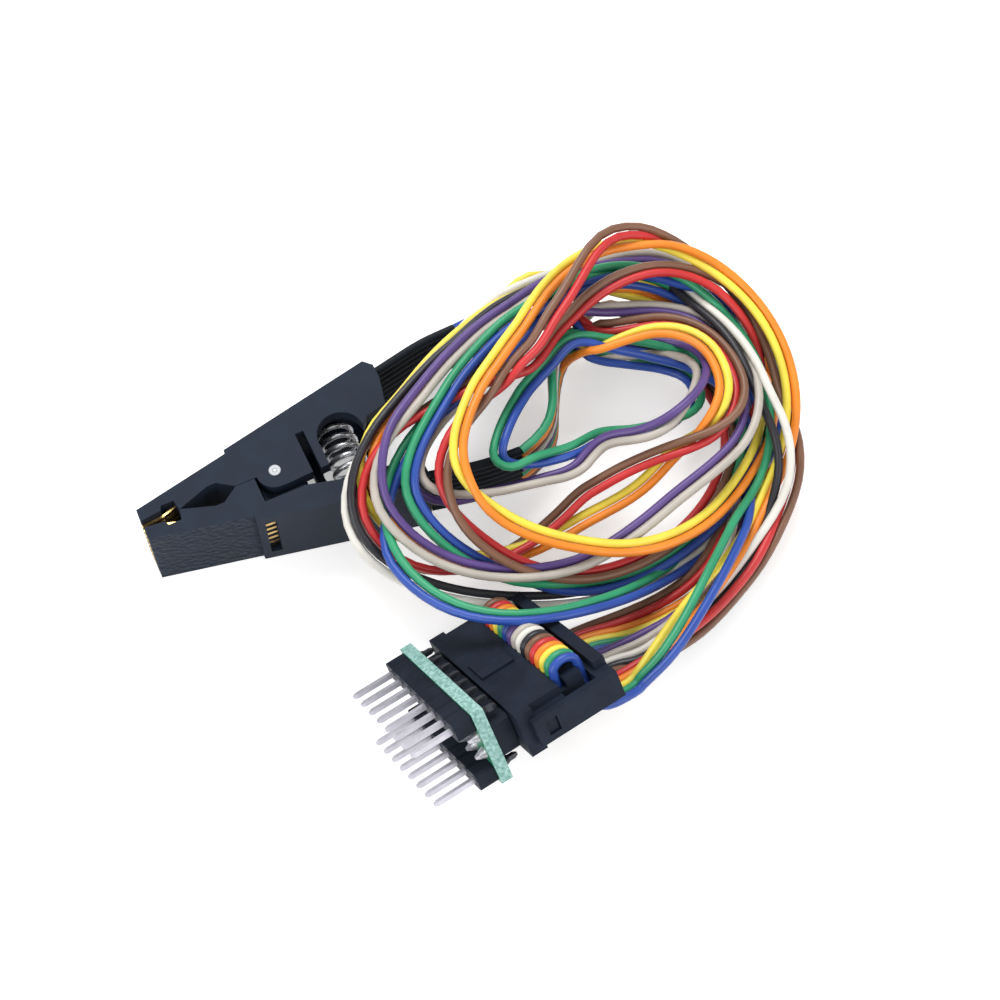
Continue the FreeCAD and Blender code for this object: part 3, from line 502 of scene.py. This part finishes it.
def pair_turns(stations):
    """Centre points and lies of one pair, every few degrees round the loom."""
    first = stations[0][0]
    last = stations[-1][0]
    count = int(round((last - first) / STEP))
    points = []
    lies = []
    for k in range(count + 1):
        angle = first + (last - first) * k / count
        radius = smooth_value(stations, 1, angle)
        height = smooth_value(stations, 2, angle)
        points.append(on_map(angle, radius, height))
        lies.append(math.radians(smooth_value(stations, 3, angle)))
    return np.array(points), lies


def split_pair(points, lies):
    """The two wires of a pair, side by side along its centre line."""
    wires = ([], [])
    for k, (point, lie) in enumerate(zip(points, lies)):
        along = points[min(k + 1, len(points) - 1)] - points[max(k - 1, 0)]
        out = np.cross(along, (0, 0, 1))
        out /= np.linalg.norm(out)
        up = np.cross(out, along)
        up /= np.linalg.norm(up)
        side = 0.62 * (math.cos(lie) * out + math.sin(lie) * up)
        wires[0].append(point + side)
        wires[1].append(point - side)
    return wires


# The ribbon's fold through the socket, as the board's x and z

FOLD = [
    (11.44, -2.6), (11.44, 0.4), (11.44, 3.4), (11.7, 4.25), (13.1, 4.75), (14.5, 4.25),
    (14.78, 3.2), (14.74, 0.2), (14.74, -3.0), (16.04, -4.8), (18.94, -5.2),
]
LEAD_START = ((28.5, -33.0, 0.9), (29.0, -47.2, 11.3))

# Each wire's own way from the socket to the loom: angle, radius and height on the map

LEADS = [
    [(-81.6, 32.4, 1.8), (-71.2, 31.3, 2.4), (-61.4, 30.2, 3.0), (-50.8, 28.3, 3.4)],
    [(-81.5, 33.5, 2.2), (-71.2, 32.3, 2.8), (-61.5, 31.3, 3.4), (-51.0, 29.5, 3.6)],
    [(-80.1, 34.4, 2.8), (-69.0, 33.3, 2.8), (-57.0, 32.0, 2.6), (-44.0, 29.6, 2.4)],
    [(-79.9, 35.3, 3.5), (-68.6, 34.2, 3.4), (-57.0, 32.9, 3.0), (-44.0, 30.6, 2.6)],
    [(-78.9, 36.0, 4.2), (-66.0, 34.8, 2.4), (-55.0, 33.2, 1.4), (-43.0, 29.4, 1.6)],
    [(-78.4, 36.9, 5.0), (-73.2, 35.8, 3.6), (-58.0, 34.2, 1.8), (-43.0, 30.6, 1.4)],
    [(-77.6, 35.6, 5.4), (-68.6, 34.2, 5.0), (-57.0, 31.8, 4.8), (-44.0, 28.4, 3.6)],
    [(-76.8, 36.5, 6.4), (-68.5, 35.0, 6.0), (-56.5, 32.4, 5.8), (-44.0, 29.0, 4.4)],
    [(-78.2, 37.9, 7.0), (-72.6, 36.3, 6.2), (-60.0, 34.2, 5.0), (-46.0, 32.0, 5.0)],
    [(-79.0, 38.9, 7.6), (-73.4, 37.4, 6.6), (-60.5, 35.4, 4.8), (-46.0, 33.0, 4.6)],
    [(-78.6, 40.2, 7.0), (-70.0, 38.4, 5.0), (-63.6, 37.4, 4.0), (-52.5, 35.2, 3.6), (-43.5, 34.0, 4.0)],
    [(-78.2, 39.0, 8.8), (-72.0, 37.8, 7.0), (-62.6, 36.2, 5.4), (-52.4, 34.4, 5.0), (-44.0, 33.2, 5.2)],
    [(-78.0, 39.8, 9.6), (-69.2, 36.6, 8.2), (-58.0, 33.6, 6.6), (-44.0, 31.0, 5.4)],
    [(-78.6, 39.8, 10.8), (-73.6, 36.7, 10.2), (-68.8, 34.4, 9.6), (-62.0, 32.2, 8.6), (-45.4, 30.2, 6.4)],
    [(-79.2, 41.0, 11.2), (-75.4, 39.3, 11.4), (-69.9, 36.4, 11.5), (-65.3, 34.2, 11.3), (-58.1, 31.4, 10.6),
     (-49.5, 29.2, 9.0), (-41.0, 27.8, 7.2)],
    [(-79.2, 42.2, 11.6), (-73.6, 39.8, 11.8), (-69.2, 37.7, 11.8), (-64.0, 35.4, 11.4), (-55.8, 32.6, 10.6),
     (-47.0, 30.4, 9.0), (-39.0, 29.0, 7.2)],
]


def lead_points(i):
    """From the socket's slot, round its ribbon fold and out to the loom."""
    y = ((WAYS - 1) / 2 - i) * PITCH
    share = i / (WAYS - 1)
    points = [on_board(x, y, z) for x, z in FOLD]
    points.append(np.array(LEAD_START[0]) * (1 - share) + np.array(LEAD_START[1]) * share)
    points += [on_map(*station) for station in LEADS[i]]
    return points


CLIP_MIDDLE = 5.9
SLEEVE_MOUTH = (30.44, 10.43)


def sleeve_z(k):
    return CLIP_MIDDLE + (k - (WAYS / 2 - 1) / 2) * PITCH


def tail_points(i):
    """From the loom to the mouth of the wire's own sleeve."""
    k = i // 2
    z = sleeve_z(k)
    if i % 2:
        reach = PAIRS[k][-1][1]
        return [
            np.array([44.2, 5.2 + 0.5 * reach, 5.2 + 0.9 * k]),
            np.array([39.4, 8.2 + 0.26 * reach, 3.0 + 1.12 * k]),
            np.array([34.6, 10.8, z]),
            np.array([SLEEVE_MOUTH[0], SLEEVE_MOUTH[1], z]),
        ]
    return [
        np.array([42.4, 2.0 + 0.3 * k, 4.2 + 0.9 * k]),
        np.array([39.4, -2.6 + 0.24 * k, 2.4 + 1.16 * k]),
        np.array([37.4, -6.9 + 0.12 * k, 1.7 + 1.24 * k]),
        np.array([34.2, -9.4, z]),
        np.array([SLEEVE_MOUTH[0], -SLEEVE_MOUTH[1], z]),
    ]


OVER_CLIP = 12.6
OVER_SLEEVES = 11.9
OVER_FLOOR = 0.62


def clearance_floor(point):
    """The lowest a wire's centre may lie here: the floor, or over the clip."""
    x = point[0]
    y = abs(point[1])
    if x < 19.6 and y < 13.5:
        return OVER_CLIP
    if x < 31.5 and 6.4 < y < 13.0:
        return OVER_SLEEVES
    return OVER_FLOOR


# Crossing wires part mostly up and down, and a wire's own near points don't push it

FLATTENING = (0.55, 0.55, 1.0)
LIFT = 0.12
NEAR_POINTS = 6
BETWEEN = (0.0, 0.25, 0.5, 0.75)


def settle(wires, pinned_start, pinned_end, rounds):
    """Pushes crossing wires apart until they lie on each other, not in each other."""
    moves = [np.zeros_like(w) for w in wires]
    gap = WIRE_D + 0.05
    for _ in range(rounds):
        dense = []
        owner = []
        for w, (wire, move) in enumerate(zip(wires, moves)):
            now = wire + move
            for k in range(len(now) - 1):
                for t in BETWEEN:
                    dense.append(now[k] * (1 - t) + now[k + 1] * t)
                    owner.append((w, k, t))
        tree = KDTree(len(dense))
        for n, point in enumerate(dense):
            tree.insert(point, n)
        tree.balance()
        push = [np.zeros_like(w) for w in wires]
        load = [np.zeros(len(w)) for w in wires]
        for n, point in enumerate(dense):
            w, k, t = owner[n]
            for found, m, distance in tree.find_range(point, gap):
                if m <= n:
                    continue
                w2, k2, t2 = owner[m]
                if w == w2 and abs(k - k2) < NEAR_POINTS:
                    continue
                away = point - np.array(found)
                sign = 1.0 if away[2] >= 0 else -1.0
                away = away * FLATTENING + (0, 0, LIFT * sign)
                away /= np.linalg.norm(away)
                step = 0.5 * (gap - distance) * away
                for (v, j, s, direction) in ((w, k, t, 1), (w2, k2, t2, -1)):
                    for index, weight in ((j, 1 - s), (j + 1, s)):
                        push[v][index] += direction * step * weight
                        load[v][index] += weight
        for w, wire in enumerate(wires):
            weight = np.maximum(load[w], 1.0)[:, None]
            moves[w] += 0.9 * push[w] / weight
            now = moves[w].copy()
            now[1:-1] = 0.2 * moves[w][:-2] + 0.6 * moves[w][1:-1] + 0.2 * moves[w][2:]
            moves[w] = now
            moves[w][:pinned_start] = 0
            moves[w][len(wire) - pinned_end:] = 0
            for k in range(pinned_start, len(wire) - pinned_end):
                low = clearance_floor(wire[k] + moves[w][k])
                if wire[k][2] + moves[w][k][2] < low:
                    moves[w][k][2] += 0.6 * (low - wire[k][2] - moves[w][k][2])
    return [wire + move for wire, move in zip(wires, moves)]


routes = []
for pair, stations in enumerate(PAIRS):
    centre, lies = pair_turns(stations)
    for side, turns in enumerate(split_pair(centre, lies)):
        i = 2 * pair + side
        routes.append(np.array(lead_points(i) + list(turns) + tail_points(i)))
routes = settle(routes, len(FOLD) + 2, 2, 40)


def nurbs_curve(name, points):
    data = bpy.data.curves.new(name, "CURVE")
    data.dimensions = "3D"
    spline = data.splines.new("NURBS")
    spline.points.add(len(points) - 1)
    for place, point in zip(spline.points, points):
        place.co = (*(point * MM), 1)
    spline.order_u = 3
    spline.use_endpoint_u = True
    spline.resolution_u = 3
    made = bpy.data.objects.new(name, data)
    bpy.context.scene.collection.objects.link(made)
    return made


def line_of(curve):
    """The points along a curve with no bevel, as Blender draws it."""
    mesh = bpy.data.meshes.new_from_object(curve)
    return [v.co.copy() for v in mesh.vertices]


def tube(name, line, radius, sides=10):
    """A round tube along the line, its ends closed."""
    vertices = []
    faces = []
    across = Vector((0, 0, 1))
    for k, point in enumerate(line):
        ahead = line[min(k + 1, len(line) - 1)] - line[max(k - 1, 0)]
        ahead.normalize()
        across = (across - ahead * across.dot(ahead)).normalized()
        other = ahead.cross(across)
        for s in range(sides):
            a = 2 * math.pi * s / sides
            vertices.append(point + radius * (math.cos(a) * across + math.sin(a) * other))
    for k in range(len(line) - 1):
        for s in range(sides):
            n = (s + 1) % sides
            faces.append((k * sides + s, k * sides + n, (k + 1) * sides + n, (k + 1) * sides + s))
    faces.append(tuple(range(sides))[::-1])
    last = (len(line) - 1) * sides
    faces.append(tuple(last + s for s in range(sides)))
    mesh = bpy.data.meshes.new(name)
    mesh.from_pydata(vertices, [], faces)
    mesh.polygons.foreach_set("use_smooth", [True] * (len(faces) - 2) + [False] * 2)
    made = bpy.data.objects.new(name, mesh)
    bpy.context.scene.collection.objects.link(made)
    return made


HIDDEN = ["wire_coil", "ribbon_fold"]
BLEND_FROM = (45 * MM, 11 * MM, 6 * MM)
for i, route in enumerate(routes):
    color = ORDER[i]
    pair_node = "wire_pair_" + str(i // 2 + 1)
    name = "wire_" + str(i + 1) + "_" + color
    curve = nurbs_curve(name, route)
    line = line_of(curve)
    if i % 2 == 0:
        curve.data.bevel_depth = WIRE_D / 2 * MM
        curve.data.bevel_resolution = 3
        curve.data.use_fill_caps = True
        curve.data.materials.append(wire_materials[color])
        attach(curve, "lower_half")
        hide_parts("lower_tails", pair_node, *HIDDEN)
        continue
    bpy.data.objects.remove(curve)
    cut = len(line) - 1
    while line[cut].x < BLEND_FROM[0]:
        cut -= 1
    main = tube(name, line[: cut + 1], WIRE_D / 2 * MM)
    tail = tube(name + "_tail", line[cut:], WIRE_D / 2 * MM)
    for piece in (main, tail):
        piece.data.materials.append(wire_materials[color])
    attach(main, "lower_half")
    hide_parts(pair_node, *HIDDEN)
    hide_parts("upper_tails")
    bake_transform(tail)


# The coil spring between the levers, in place of the model's spring

SPRING_X = 9.9
SPRING_Z = 5.9
SPRING_HALF = 5.0
SPRING_R = 2.3
TURNS = 6.5
TURN_STEPS = 24
turns = []
for k in range(int(TURNS * TURN_STEPS) + 1):
    a = 2 * math.pi * k / TURN_STEPS
    y = -SPRING_HALF + 2 * SPRING_HALF * k / (TURNS * TURN_STEPS)
    turns.append(Vector((SPRING_X + SPRING_R * math.cos(a), y, SPRING_Z + SPRING_R * math.sin(a))) * MM)
spring = tube("coil_spring", turns, 0.38 * MM, 12)
spring.data.materials.append(spring_steel)
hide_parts("lever_spring")
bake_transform(spring)


# Floor, lights and camera

def glow_floor():
    mesh = bpy.data.meshes.new("floor")
    half = 3.0
    corners = [(-half, -half, 0), (half, -half, 0), (half, half, 0), (-half, half, 0)]
    mesh.from_pydata(corners, [], [(0, 1, 2, 3)])
    floor = bpy.data.objects.new("floor", mesh)
    bpy.context.scene.collection.objects.link(floor)
    floor.location.z = -0.00005
    material = new_material("floor", (0.86, 0.86, 0.86), 0.9)
    shader = principled(material)
    shader.inputs["Specular IOR Level"].default_value = 0.0
    path = add_node(material, "ShaderNodeLightPath")
    either = add_node(material, "ShaderNodeMath", operation="MAXIMUM")
    link(material, path, "Is Camera Ray", either, 0)
    link(material, path, "Is Glossy Ray", either, 1)
    gain = add_node(material, "ShaderNodeMath", operation="MULTIPLY")
    gain.inputs[1].default_value = 0.42
    link(material, either, "Value", gain, 0)
    shader.inputs["Emission Color"].default_value = (1, 1, 1, 1)
    link(material, gain, "Value", shader, "Emission Strength")
    mesh.materials.append(material)


def area_light(name, place, target, size, power):
    data = bpy.data.lights.new(name, "AREA")
    data.size = size
    data.energy = power
    lamp = bpy.data.objects.new(name, data)
    lamp.location = place
    lamp.rotation_euler = (Vector(target) - Vector(place)).to_track_quat("-Z", "Y").to_euler()
    bpy.context.scene.collection.objects.link(lamp)


glow_floor()
LAMP_TARGET = (0.03, -0.01, 0)
area_light("key", (0.10, 0.35, 0.55), LAMP_TARGET, 0.35, 3.2)
area_light("side", (-0.50, -0.15, 0.40), LAMP_TARGET, 0.40, 2.2)
area_light("front", (0.35, -0.45, 0.35), LAMP_TARGET, 0.40, 1.6)

world = bpy.data.worlds.new("studio")
bpy.context.scene.world = world
world.use_nodes = True
world.node_tree.nodes["Background"].inputs["Color"].default_value = (1, 1, 1, 1)
world.node_tree.nodes["Background"].inputs["Strength"].default_value = 0.55

camera_data = bpy.data.cameras.new("camera")
camera_data.lens = 72
camera_data.sensor_width = 36
camera_data.clip_start = 0.01
camera = bpy.data.objects.new("camera", camera_data)
camera.location = tuple(CAMERA * MM)
camera.rotation_euler = (math.radians(27), 0, math.radians(-25.42))
bpy.context.scene.collection.objects.link(camera)
bpy.context.scene.camera = camera
bpy.context.scene.view_settings.view_transform = "Standard"


bpy.context.view_layer.update()
